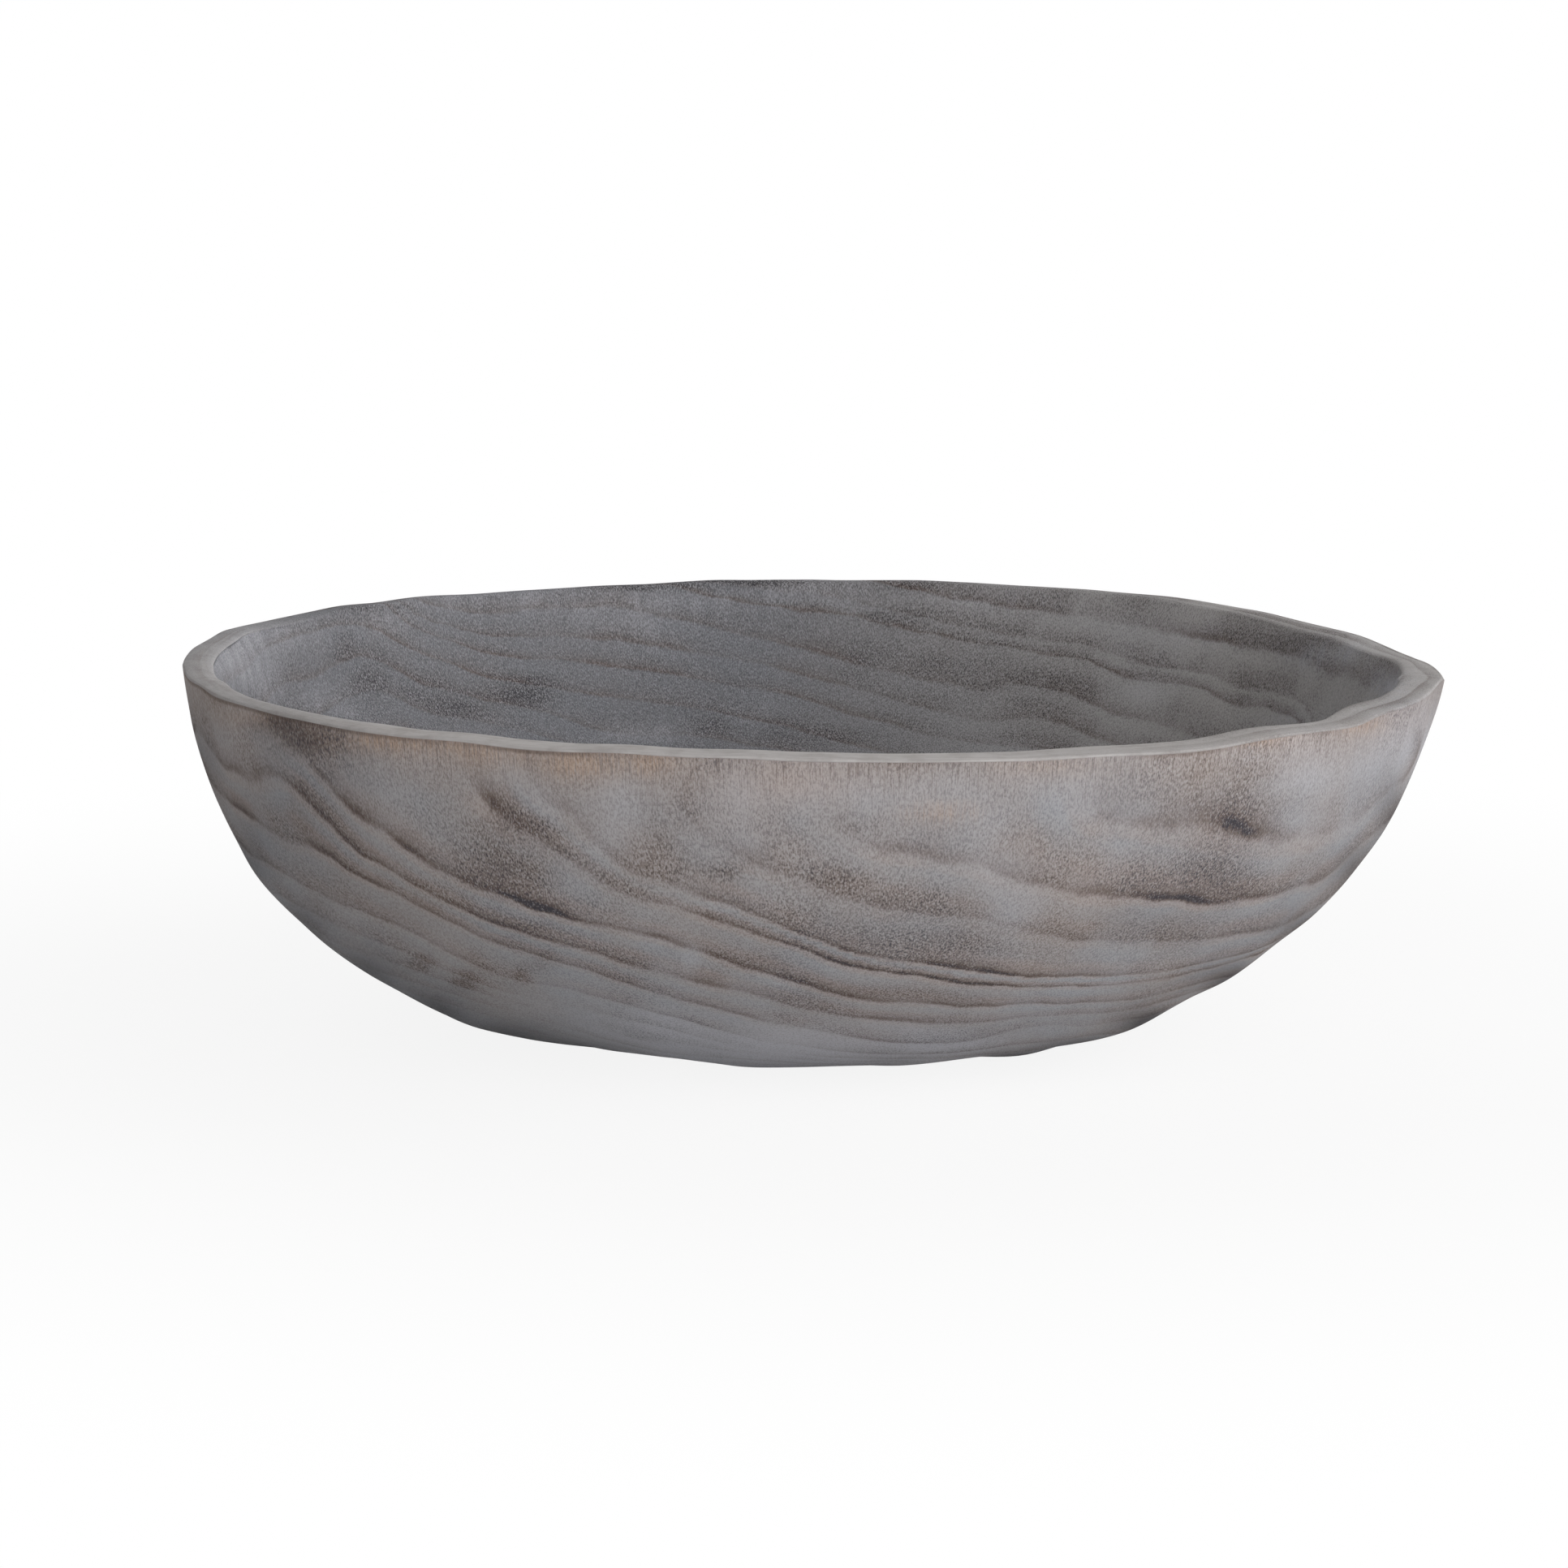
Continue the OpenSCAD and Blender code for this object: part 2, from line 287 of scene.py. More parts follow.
# Partly the grey wash itself, partly painted light that lightens the bottom, the far right and the hollow's
# upper right
WASH_AND_PAINTED_LIGHT_SPOTS = [
    (290, 820, 40, 34, 0.7), (750, 740, 250, 14, 0.45), (330, 850, 14, 16, 0.5), (385, 866, 26, 7, 0.6),
    (425, 877, 16, 5, 0.5), (330, 785, 60, 16, 0.4), (980, 1295, 260, 36, 1.4), (1600, 940, 60, 50, 0.4),
    (1725, 905, 40, 50, 1.0), (810, 1266, 70, 26, 0.8), (1170, 1285, 60, 14, 1.0), (1635, 808, 50, 18, 1.5),
    (1710, 838, 24, 16, 1.9), (1260, 925, 60, 8, 0.5), (1530, 928, 40, 10, 0.5), (1740, 890, 30, 40, 0.5),
    (290, 915, 36, 30, 0.4), (1000, 725, 60, 10, 0.5), (1240, 740, 70, 12, 0.9), (1430, 810, 60, 40, 0.3),
    (1490, 780, 40, 18, 0.5), (525, 932, 40, 16, 0.35), (615, 935, 20, 16, 0.35), (680, 1012, 14, 12, 0.4),
    (930, 1113, 50, 10, 0.3), (890, 1175, 50, 12, 0.3), (970, 1205, 30, 14, 0.35), (1185, 1180, 60, 8, 0.3),
    (810, 1150, 30, 10, 0.35), (1120, 1040, 30, 14, 0.35), (1230, 1072, 20, 10, 0.35),
    (1590, 885, 30, 8, 0.5), (800, 770, 60, 34, 0.25), (470, 770, 34, 12, 0.35), (930, 880, 30, 20, 0.3),
    (790, 905, 60, 10, 0.4), (1230, 1240, 160, 40, 0.3), (770, 1240, 130, 46, 0.22),
    (1540, 935, 40, 10, 0.3), (1340, 965, 60, 20, 0.2), (1605, 912, 40, 14, 0.6), (1440, 942, 50, 12, 0.5),
]
PLAIN_SPOTS = [
    (880, 1000, 50, 60, 0.9), (1045, 1010, 60, 36, 0.8), (715, 1005, 24, 40, 0.7),
    (430, 1190, 120, 50, 0.6), (1450, 1220, 120, 30, 0.5), (640, 1255, 140, 30, 0.7),
    (1300, 1265, 160, 24, 0.6), (1180, 1000, 60, 30, 0.4),
]
# Painted shade: darkening along the lower left and right edges and over the left wall, and a few darker
# places
PAINTED_SHADE_SPOTS = [
    (240, 975, 28, 90, 0.65), (292, 1085, 36, 56, 0.75), (358, 1166, 40, 44, 1.0),
    (434, 1222, 46, 38, 1.35), (516, 1264, 50, 32, 1.6), (608, 1292, 56, 24, 1.7), (700, 1306, 56, 18, 1.5),
    (1720, 1010, 24, 44, 0.6), (1676, 1080, 30, 36, 0.6), (1612, 1150, 36, 28, 0.6),
    (1532, 1214, 46, 24, 1.0), (1440, 1266, 54, 20, 1.5), (1340, 1298, 54, 15, 1.5),
    (1250, 1308, 44, 10, 1.2), (360, 980, 100, 100, 0.2), (350, 893, 30, 13, 0.4), (372, 915, 24, 12, 0.3),
    (1660, 884, 30, 8, 0.2),
]
LINE_SPOTS = [
    (668, 1120, 55, 22, 1.3), (640, 1003, 44, 36, 1.8), (1140, 1192, 190, 26, 0.8),
    (1450, 1106, 100, 16, 1.0), (390, 960, 90, 60, 0.7), (520, 1075, 90, 40, 0.6),
    (1530, 1020, 46, 14, 1.7), (470, 1040, 60, 40, 0.3), (1420, 835, 60, 12, 0.5),
    (1470, 785, 120, 14, 0.2), (1150, 730, 100, 12, 0.3), (660, 810, 190, 60, 0.35),
    (1100, 800, 150, 40, 0.2),
]
TAN_SPOTS = [
    (330, 885, 40, 10, 0.6), (455, 912, 50, 12, 0.65), (540, 920, 60, 14, 0.55), (610, 930, 40, 16, 0.5),
    (715, 940, 50, 20, 0.65), (800, 940, 30, 18, 0.55), (1560, 910, 50, 10, 0.8), (1690, 892, 50, 12, 0.8),
    (1160, 1000, 50, 14, 0.5), (1290, 945, 60, 14, 0.3),
]
PINK_SPOTS = [
    (970, 965, 90, 34, 0.8), (1340, 1080, 90, 40, 0.4), (900, 1010, 60, 40, 0.3),
]

# The lens and the middle of the frame in pixels, and the directions of the grid in degrees
FOCAL_PX = FRAME_PX * LENS_MM / SENSOR_MM
MIDDLE_PX = FRAME_PX / 2
FULL_TURN = 360
HALF_TURN = FULL_TURN / 2
RIGHT_ANGLE = FULL_TURN / 4
DIRECTIONS = FULL_TURN * np.arange(AROUND) / AROUND


def camera_axes():
    """The camera's eye, and its right, up and forward directions."""
    tilt = math.radians(CAMERA_ELEVATION)
    forward = np.array([0, math.cos(tilt), -math.sin(tilt)])
    up = np.array([0, math.sin(tilt), math.cos(tilt)])
    right = np.array([1.0, 0, 0])
    return np.array(CAMERA_AIM) - forward * CAMERA_DISTANCE, right, up, forward


def seen_at(points):
    """The photograph's pixels at which these points lie."""
    eye, right, up, forward = camera_axes()
    away = points - eye
    depth = away @ forward
    across = MIDDLE_PX + FOCAL_PX * (away @ right) / depth
    down = MIDDLE_PX - FOCAL_PX * (away @ up) / depth
    return np.stack([across, down], axis=-1)


def run_length(places):
    """How far each of these places lies along the line through them."""
    return np.concatenate([[0], np.cumsum(np.linalg.norm(np.diff(places, axis=0), axis=1))])


def curve(points, share):
    """Places on a curve with four control points, at these shares of the way, and its directions there."""
    a, b, c, d = points
    t = np.asarray(share)[:, None]
    place = a * (1 - t) ** 3 + 3 * b * t * (1 - t) ** 2 + 3 * c * t**2 * (1 - t) + d * t**3
    slope = (b - a) * (1 - t) ** 2 + 2 * (c - b) * t * (1 - t) + (d - c) * t**2
    return place, slope / np.linalg.norm(slope, axis=1, keepdims=True)


def outer_curve(share):
    """The outside's section at these shares of the way from the foot's edge to the rim."""
    foot = np.array([FOOT_R, 0.0])
    rim = np.array([RIM_R, HEIGHT])
    reach = rim - foot
    return curve((foot, foot + reach * FOOT_HANDLE_SHARES, rim - reach * RIM_HANDLE_SHARES, rim), share)


def inward(along):
    """The direction square to the section, into the wood."""
    return np.stack([-along[:, 1], along[:, 0]], axis=1)


def disc_rings(radius, height, shares, facing):
    """Rings of a level disc at these shares of its radius, which faces up (1) or down (-1)."""
    place = np.stack([radius * shares, np.full(len(shares), height)], axis=1)
    return place, np.tile([0.0, facing], (len(shares), 1))


def rim_rings():
    """Rings over the rim, cut square to the wall with rounded edges, and how far through it they lie."""
    _, along = outer_curve([1.0])
    inner = inward(along)
    turn = np.linspace(0, math.pi / 2, EDGE_STEPS)[:, None]
    top = np.linspace(OUTER_EDGE, RIM_WALL - INNER_EDGE, TOP_STEPS + 2)[1:-1, None]
    inner_across = RIM_WALL - INNER_EDGE * (1 - np.sin(turn))
    across = np.concatenate([OUTER_EDGE * (1 - np.cos(turn)), top, inner_across])
    below = np.concatenate([OUTER_EDGE * (1 - np.sin(turn)), 0 * top, INNER_EDGE * (1 - np.cos(turn))])
    out = np.concatenate([
        along * np.sin(turn) - inner * np.cos(turn),
        np.tile(along, (TOP_STEPS, 1)),
        along * np.cos(turn) + inner * np.sin(turn),
    ])
    place = np.array([RIM_R, HEIGHT]) + inner * across - along * below
    return place, out, across[:, 0] / RIM_WALL


def section():
    """The bowl's section, from the foot's middle over the rim to the hollow's middle.

    Gives each ring's place as radius and height, the way out of the wood there, how far through the
    wall it lies, and how far along the section.
    """
    foot_place, foot_out = disc_rings(FOOT_R, 0.0, np.arange(1, FOOT_STEPS + 1) / FOOT_STEPS, -1.0)
    outer_place, outer_along = outer_curve(np.arange(1, OUTER_STEPS) / OUTER_STEPS)
    rim_place, rim_out, rim_through = rim_rings()
    inner_share = np.arange(INNER_STEPS - 1, -1, -1) / INNER_STEPS
    across_wall, inner_along = outer_curve(inner_share)
    wall = FLOOR_WALL + (RIM_WALL - FLOOR_WALL) * inner_share[:, None] ** WALL_TAPER_POWER
    inner_place = across_wall + inward(inner_along) * wall
    floor_share = np.arange(FLOOR_STEPS - 1, 0, -1) / FLOOR_STEPS
    floor_place, floor_out = disc_rings(*inner_place[-1], floor_share, 1.0)

    place = np.concatenate([foot_place, outer_place, rim_place, inner_place, floor_place])
    out = np.concatenate([foot_out, -inward(outer_along), rim_out, inward(inner_along), floor_out])
    outside = np.zeros(len(foot_place) + len(outer_place))
    inside = np.ones(len(inner_place) + len(floor_place))
    return place, out, np.concatenate([outside, rim_through, inside]), run_length(place)


def turn_from(middle):
    """How far each direction of the grid is from this one, in degrees."""
    return np.abs((DIRECTIONS - middle + FULL_TURN + HALF_TURN) % FULL_TURN - HALF_TURN)


def bump(away):
    """A smooth bump, 1 in its middle and 0 from its half width on."""
    return np.where(away < 1, (1 - away**2) ** 2, 0)


def hewn(marks, rise):
    """How far the swellings and hollows push the surface out, at these height shares by direction."""
    total = np.zeros((len(rise), AROUND))
    for direction, mark_rise, half_turn, half_rise, depth in marks:
        away = np.hypot(turn_from(direction) / half_turn, (rise - mark_rise) / half_rise)
        total += depth * bump(away)
    return total


def swell(table):
    """The sum of smooth swells round the rim, each with a direction, a half width and a size."""
    return sum(size * bump(turn_from(middle) / half_turn) for middle, half_turn, size in table)


def softened(values):
    """Values round the rim, with their corners softened."""
    around = np.concatenate([values[-CORNER_STEPS:], values, values[:CORNER_STEPS]])
    width = 2 * CORNER_STEPS + 1
    return np.convolve(around, np.full(width, 1 / width), "valid")


def by_direction(table):
    """Values that run straight from each direction of a table to the next, with the corners softened."""
    return softened(np.interp(DIRECTIONS, *zip(*table)))


def rim_lift(angle, height):
    """How far the rim stands above these heights, for its edge to lie where the photograph shows it."""
    lift = np.zeros(len(angle))
    pixel_mm = CAMERA_DISTANCE / FOCAL_PX
    for _ in range(RIM_FIT_PASSES):
        edge = np.stack([RIM_R * np.cos(angle), RIM_R * np.sin(angle), height + lift], axis=1)
        across, down = seen_at(edge).T
        front = np.interp(across, *zip(*RIM_FRONT)) - EDGE_BELOW_PX
        back = np.interp(across, *zip(*RIM_BACK))
        lift += (down - np.where(np.sin(angle) < 0, front, back)) * pixel_mm
    clear = np.abs(np.sin(angle)) > RIM_END_SHARE
    return softened(np.interp(angle, angle[clear], lift[clear], period=2 * math.pi))


def smooth_noise(points, size):
    """Smooth noise from about -1 to 1 at these points, with swells of that size."""
    values = [noise.noise(Vector(p)) for p in points.reshape(-1, 3) / size]
    return np.array(values).reshape(points.shape[:-1])


def flat_middles(points, length, radius):
    """The middles of the scraper's flats: in rows round the bowl, each a little out of its place."""
    draws = np.random.RandomState(SEED)
    middles = []
    for row in np.arange(FLAT_SPACING / 2, length[-1], FLAT_SPACING):
        i = int(np.argmin(np.abs(length - row)))
        count = max(FLAT_FEWEST, round(2 * math.pi * radius[i] / FLAT_SPACING))
        for k in range(count):
            stray = draws.uniform(-FLAT_STRAY, FLAT_STRAY) * FLAT_SPACING
            i_near = int(np.argmin(np.abs(length - row - stray)))
            j = int((k + draws.uniform(-FLAT_STRAY, FLAT_STRAY)) / count * AROUND) % AROUND
            middles.append(points[i_near, j])
    return middles


def flats(points, length, radius):
    """The shallow flats that a scraper leaves: dips side by side, with soft ridges between them."""
    total = np.zeros(points.shape[:-1])
    for middle in flat_middles(points, length, radius):
        total += np.exp(-FLAT_SHARPNESS * np.sum((points - middle) ** 2, axis=-1) / FLAT_SPACING**2)
    near = -np.log(total + TINY) / FLAT_SHARPNESS
    return FLAT_DEPTH * (np.clip(near / FLAT_RIDGE_AT, 0, FLAT_RIDGE_MOST) - FLAT_SUNK)


def bowl_points(place, out, through, length):
    """The grid of the bowl's points, rings by directions, with the marks of hand work on them."""
    angle = np.radians(DIRECTIONS)
    rise = np.maximum(place[:, 1], 0)[:, None] / HEIGHT
    below_inner_edge = length - length[through < 1][-1]
    outside = HEWN_DEPTH * hewn(OUTER_MARK_SHARES, rise) + hewn(LOW_MARKS, rise)
    inside = HEWN_DEPTH * hewn(INNER_MARK_SHARES, rise)
    worn = np.exp(-((below_inner_edge / EDGE_WEAR_WIDTH) ** 2))
    push = np.where(through[:, None] < 1, outside, inside) - worn[:, None] * by_direction(EDGE_WEARS)
    near_rim = np.exp(-((np.where(through < 1, 0, below_inner_edge) / RIM_WIDTH_DEPTH) ** 2))
    widen = (near_rim * through)[:, None] * swell(RIM_WIDTHS)
    left = FOOT_SHIFT * (1 - rise) + HOLLOW_SHIFT * rise * through[:, None]
    lift = RIM_TILT * np.cos(np.radians(DIRECTIONS - RIM_HIGH_SIDE)) + RIM_WARP * np.sin(2 * angle)
    raised = lift * rise**LIFT_POWER + rim_lift(angle, HEIGHT + lift) * rise**RIM_LIFT_POWER

    def placed(push):
        r = place[:, 0, None] + out[:, 0, None] * push - widen
        z = place[:, 1, None] + out[:, 1, None] * push + raised
        return np.stack([r * np.cos(angle) - left, r * np.sin(angle), z], axis=2)

    smooth = placed(push)
    fine = flats(smooth, length, place[:, 0]) + LUMP_DEPTH * smooth_noise(smooth, LUMP_SIZE)
    on_top = (through > 0) & (through < 1)
    points = placed(push + fine * np.where(on_top, RIM_FINE_SHARE, 1.0)[:, None])
    points[:, :, 2] = np.maximum(points[:, :, 2], 0)
    points[:FOOT_STEPS, :, 2] = 0
    return points


def bowl_faces(ring_count):
    """Quads between the rings, and the two fans that close the foot and the hollow's floor."""
    step = np.arange(AROUND)
    after = (step + 1) % AROUND
    ring = AROUND * np.arange(ring_count - 1)[:, None]
    quads = np.stack([ring + step, ring + after, ring + AROUND + after, ring + AROUND + step], axis=-1)
    foot_middle = np.full(AROUND, ring_count * AROUND)
    last = (ring_count - 1) * AROUND
    foot_fan = np.stack([foot_middle, after, step], axis=-1)
    floor_fan = np.stack([foot_middle + 1, last + step, last + after], axis=-1)
    return quads.reshape(-1, 4).tolist() + foot_fan.tolist() + floor_fan.tolist()


def bowl_mesh(grid):
    """The bowl's points and faces, and the mesh made of them in metres."""
    foot_middle = np.array([-FOOT_SHIFT, 0, 0])
    floor_middle = np.array([-FOOT_SHIFT, 0, grid[-1, :, 2].mean()])
    points = np.concatenate([grid.reshape(-1, 3), [foot_middle, floor_middle]])
    faces = bowl_faces(len(grid))
    mesh = bpy.data.meshes.new("hewn_bowl")
    mesh.from_pydata((points * MM).tolist(), [], faces)
    mesh.polygons.foreach_set("use_smooth", np.ones(len(faces), bool))
    mesh.update()
    return points, faces, mesh


def cast(tree, pixels):
    """The places where the lines of sight through these pixels first meet the bowl."""
    eye, right, up, forward = camera_axes()
    found = []
    for x, y in pixels:
        sight = forward * FOCAL_PX + right * (x - MIDDLE_PX) - up * (y - MIDDLE_PX)
        hit = tree.ray_cast(Vector(eye), Vector(sight).normalized())[0]
        if hit is not None:
            found.append(hit)
    return np.array(found)


def followed(line):
    """Pixels at even steps along a line drawn through a few."""
    pixels = np.array(line, float)
    along = run_length(pixels)
    steps = np.arange(0, along[-1], LINE_STEP_PX)
    return np.stack([np.interp(steps, along, pixels[:, k]) for k in (0, 1)], axis=1)


def pith_distance(points):
    """How far these points lie from the leaning pith, in millimetres."""
    height = points[..., 2]
    from_pith = [points[..., k] - PITH[k] - PITH_LEAN[k] * height for k in (0, 1)]
    return np.hypot(*from_pith)


def pull(places, amounts, points, reach):
    """Spreads amounts known at some places smoothly over these points, fading out beyond this reach."""
    weight = np.full(len(points), LINE_PULL_FLOOR)
    total = np.zeros(len(points))
    for place, amount in zip(places, amounts):
        near = np.exp(-np.sum((points - place) ** 2, axis=1) / (2 * reach**2))
        weight += near
        total += near * amount
    return total / weight


def ring_distance(points, lines, tree):
    """The distance from the pith, drawn aside so that each traced line follows its ring."""
    hits = [cast(tree, followed(line)) for line in lines.values()]
    places = np.concatenate(hits)
    wanted = np.repeat(np.array(list(lines), float), [len(h) for h in hits])
    distance = pith_distance(points)
    reached = pith_distance(places)
    for reach in LINE_PULLS:
        short = wanted - reached
        distance = distance + pull(places, short, points, reach)
        reached = reached + pull(places, short, places, reach)
    return distance


def ring_count_at(distance):
    """How many rings lie within this distance, running evenly through each ring's line."""
    radii = np.array([ring[0] for ring in RINGS])
    gaps = np.diff(radii)
    below = np.minimum(LINE_BELOW, CROWDED_SHARE * np.concatenate([[radii[0]], gaps]))
    above = np.minimum(LINE_ABOVE, CROWDED_SHARE * np.concatenate([gaps, gaps[-1:]]))
    count = np.arange(1.0, len(radii) + 1)
    knots = np.stack([radii - below, radii, radii + above], axis=1).ravel()
    values = np.stack([count - LINE_BELOW_COUNT, count, count + LINE_ABOVE_COUNT], axis=1).ravel()
    return np.interp(distance, np.concatenate([[0], knots]), np.concatenate([[0], values]))


def ring_marks(points, faces, inner_side):
    """Each point's count of rings, and how dark their lines are there."""
    tree = BVHTree.FromPolygons(points.tolist(), faces)
    radii, *darknesses = zip(*RINGS)
    distance = np.zeros(len(points))
    darkness = np.zeros(len(points))
    for side, lines, dark in zip((False, True), (OUTSIDE_LINES, HOLLOW_LINES), darknesses):
        chosen = inner_side == side
        distance[chosen] = ring_distance(points[chosen], lines, tree)
        darkness[chosen] = np.interp(distance[chosen], radii, dark)
    return ring_count_at(distance), darkness


def shown(points, normals, pixels, inner_side):
    """How far the photograph shows each point: 1 in view, fading out past the outline and behind the rim."""
    sight = camera_axes()[0] - points
    sight /= np.linalg.norm(sight, axis=1, keepdims=True)
    facing = np.clip(1 + np.sum(normals * sight, axis=1) / FACING_FADE, 0, 1)
    above_rim = np.interp(pixels[:, 0], *zip(*RIM_FRONT)) - pixels[:, 1]
    return facing * np.where(inner_side, np.clip(above_rim / RIM_FADE_PX, 0, 1), 1)


def spots(table, pixels, share):
    """The sum of soft spots of the photograph, on these shares of each point."""
    total = np.zeros(len(pixels))
    for x, y, half_x, half_y, strength in table:
        away = ((pixels[:, 0] - x) / half_x) ** 2 + ((pixels[:, 1] - y) / half_y) ** 2
        total += strength * np.exp(-away)
    return total * share


def photo_marks(points, normals, inner_side):
    """What the photograph's spots mark on each point: on the whole bowl, and on its outside only."""
    pixels = seen_at(points)
    in_view = shown(points, normals, pixels, inner_side)
    # Of these marks, the wash and pale spots are partly painted light, and the shade spots are painted shade
    everywhere = {"line": LINE_SPOTS, "dark": DARK_SPOTS, "pale": PALE_AND_PAINTED_LIGHT_SPOTS, "wash": WASH_AND_PAINTED_LIGHT_SPOTS}
    outside = {"tan": TAN_SPOTS, "pink": PINK_SPOTS, "plain": PLAIN_SPOTS, "painted_shade": PAINTED_SHADE_SPOTS}
    marks = {name: spots(table, pixels, in_view) for name, table in everywhere.items()}
    for name, table in outside.items():
        marks[name] = spots(table, pixels, in_view * ~inner_side)
    return marks


def spread(by_ring, around, middles):
    """A value for each point: one per ring times one per direction, then those of the two middles."""
    return np.concatenate([np.outer(by_ring, around).ravel(), middles])


def rim_marks(through, length):
    """What the rim sets: the depth below it, its top (scraped, and with painted light from above), the
    hollow, and the line of dirt and painted shadow under its edge.
    """
    outer_length = length[FOOT_STEPS + OUTER_STEPS - 1]
    below_rim = np.where(through == 0, outer_length - length, 0)
    below_rim = np.where(through == 1, length - length[through < 1][-1], below_rim)
    on_top = (through > 0) & (through < 1)
    return {
        "below_rim": spread(below_rim, np.ones(AROUND), [outer_length, outer_length]),
        "rim_top": spread(on_top, by_direction(RIM_TONES), [0, 0]),
        "hollow": spread(through > 0, np.ones(AROUND), [0, 1]),
        "edge_dirt_and_shadow": spread(np.ones(len(through)), by_direction(EDGE_DIRT_AND_SHADOW), [0, 0]),
    }


def lay_flat(mesh, length, rim_ring):
    """A flat layout for baking: the outside and the hollow as two discs."""
    ring_count = len(length)
    turn = np.concatenate([np.tile(np.radians(DIRECTIONS), ring_count), [0, 0]])
    along = np.concatenate([np.repeat(length, AROUND), [0, length[-1]]])
    outer_share = along / length[rim_ring]
    hollow_share = (length[-1] - along) / (length[-1] - length[rim_ring])

    points = np.zeros(len(mesh.loops), int)
    mesh.loops.foreach_get("vertex_index", points)
    quads_outside = rim_ring * AROUND
    quads_in_hollow = (ring_count - 1 - rim_ring) * AROUND
    corners = 4 * quads_outside, 4 * quads_in_hollow, 3 * AROUND, 3 * AROUND
    in_hollow = np.repeat([False, True, False, True], corners)
    share = np.where(in_hollow, hollow_share[points], outer_share[points])
    middle = np.where(in_hollow, 1 - DISC_RADIUS, DISC_RADIUS)
    across = middle + DISC_RADIUS * share * np.cos(turn[points])
    up = middle + DISC_RADIUS * share * np.sin(turn[points])
    layout = mesh.uv_layers.new(name="OFBake")
    layout.uv.foreach_set("vector", np.stack([across, up], axis=1).astype(np.float32).ravel())


def add_object(name, data):
    new = bpy.data.objects.new(name, data)
    bpy.context.scene.collection.objects.link(new)
    return new


def make_bowl(material):
    """The bowl as one object, with the marks that its material reads on its points."""
    place, out, through, length = section()
    points, faces, mesh = bowl_mesh(bowl_points(place, out, through, length))
    normals = np.zeros(points.size, np.float32)
    mesh.vertex_normals.foreach_get("vector", normals)
    inner_side = spread(through > HOLLOW_FROM, np.ones(AROUND), [0, 1]) > 0
    marks = photo_marks(points, normals.reshape(-1, 3), inner_side)
    marks["ring"], darkness = ring_marks(points, faces, inner_side)
    marks["line"] += darkness
    marks.update(rim_marks(through, length))
    for name, values in marks.items():
        attribute = mesh.attributes.new(name, "FLOAT", "POINT")
        attribute.data.foreach_set("value", values.astype(np.float32))

    lay_flat(mesh, length, int(np.argmax(through > HOLLOW_FROM)))
    mesh.materials.append(material)
    return add_object("carved_bowl", mesh)


LEVELS = 255


def colour(red, green, blue):
    """A colour for a shader from its values out of 255, as read off a picture."""
    shares = Color([level / LEVELS for level in (red, green, blue)])
    return (*shares.from_srgb_to_scene_linear(), 1.0)


class Nodes:
    """Adds shader nodes to a tree and joins them, so that a material reads as steps."""

    def __init__(self, tree):
        self.tree = tree
        tree.nodes.clear()

    def put(self, socket, value):
        if isinstance(value, bpy.types.NodeSocket):
            self.tree.links.new(value, socket)
        else:
            socket.default_value = value

    def add(self, kind, inputs, **settings):
        node = self.tree.nodes.new(kind)
        for name, value in settings.items():
            setattr(node, name, value)
        for socket, value in inputs.items():
            self.put(node.inputs[socket], value)
        return node

    def math(self, operation, a, b=0.0):
        return self.add("ShaderNodeMath", {0: a, 1: b}, operation=operation).outputs[0]

    def plus(self, a, b):
        return self.math("ADD", a, b)

    def minus(self, a, b):
        return self.math("SUBTRACT", a, b)

    def times(self, a, b):
        return self.math("MULTIPLY", a, b)

    def rest(self, share):
        """What a share leaves of the whole."""
        return self.minus(1.0, share)

    def lower_of(self, a, b):
        return self.math("MINIMUM", a, b)

    def higher_of(self, a, b):
        return self.math("MAXIMUM", a, b)

    def attribute(self, name):
        return self.add("ShaderNodeAttribute", {}, attribute_name=name).outputs["Fac"]

    def parts(self, vector):
        """The three parts of a vector."""
        return self.add("ShaderNodeSeparateXYZ", {0: vector}).outputs

    def scaled(self, vector, scale):
        return self.add("ShaderNodeVectorMath", {0: vector, 1: scale}, operation="MULTIPLY").outputs[0]

    def noise(self, vector, size, detail=2.0, roughness=0.5):
        inputs = {"Vector": vector, "Scale": 1 / size, "Detail": detail, "Roughness": roughness}
        return self.add("ShaderNodeTexNoise", inputs).outputs[0]

    def between(self, value, span, ends=(0.0, 1.0)):
        """Runs smoothly from one end to the other as the value goes over the span."""
        low, high = span
        start, end = ends
        inputs = {"Value": value, "From Min": low, "From Max": high, "To Min": start, "To Max": end}
        return self.add("ShaderNodeMapRange", inputs, interpolation_type="SMOOTHSTEP").outputs[0]

    def profile(self, value, stops):
        """A value that follows these (place, height) stops as the value goes from 0 to 1."""
        node = self.add("ShaderNodeValToRGB", {0: value})
        ramp = node.color_ramp
        while len(ramp.elements) < len(stops):
            ramp.elements.new(1.0)
        for element, (place, height) in zip(ramp.elements, stops):
            element.position = place
            element.color = (height, height, height, 1)
        return node.outputs[0]

    def blend(self, share, a, b):
        """A number that goes from a to b by this share."""
        return self.add("ShaderNodeMix", {0: share, 2: a, 3: b}).outputs[0]

    def mix(self, share, a, b):
        """A colour that goes from a to b by this share."""
        return self.add("ShaderNodeMix", {0: share, 6: a, 7: b}, data_type="RGBA").outputs[2]


# The colours of the wood, of the wash on it and of its marks, and of the painted shade and light
PALE_WOOD = colour(166, 168, 173)
PALE_WASH = colour(200, 200, 206)
WARM_WOOD = colour(174, 163, 157)
PORE_BROWN = colour(78, 68, 64)
PORE_BLUE = colour(74, 76, 86)
STIPPLE = colour(116, 106, 102)
LINE_BROWN = colour(106, 91, 83)
LINE_CORE = colour(68, 65, 69)
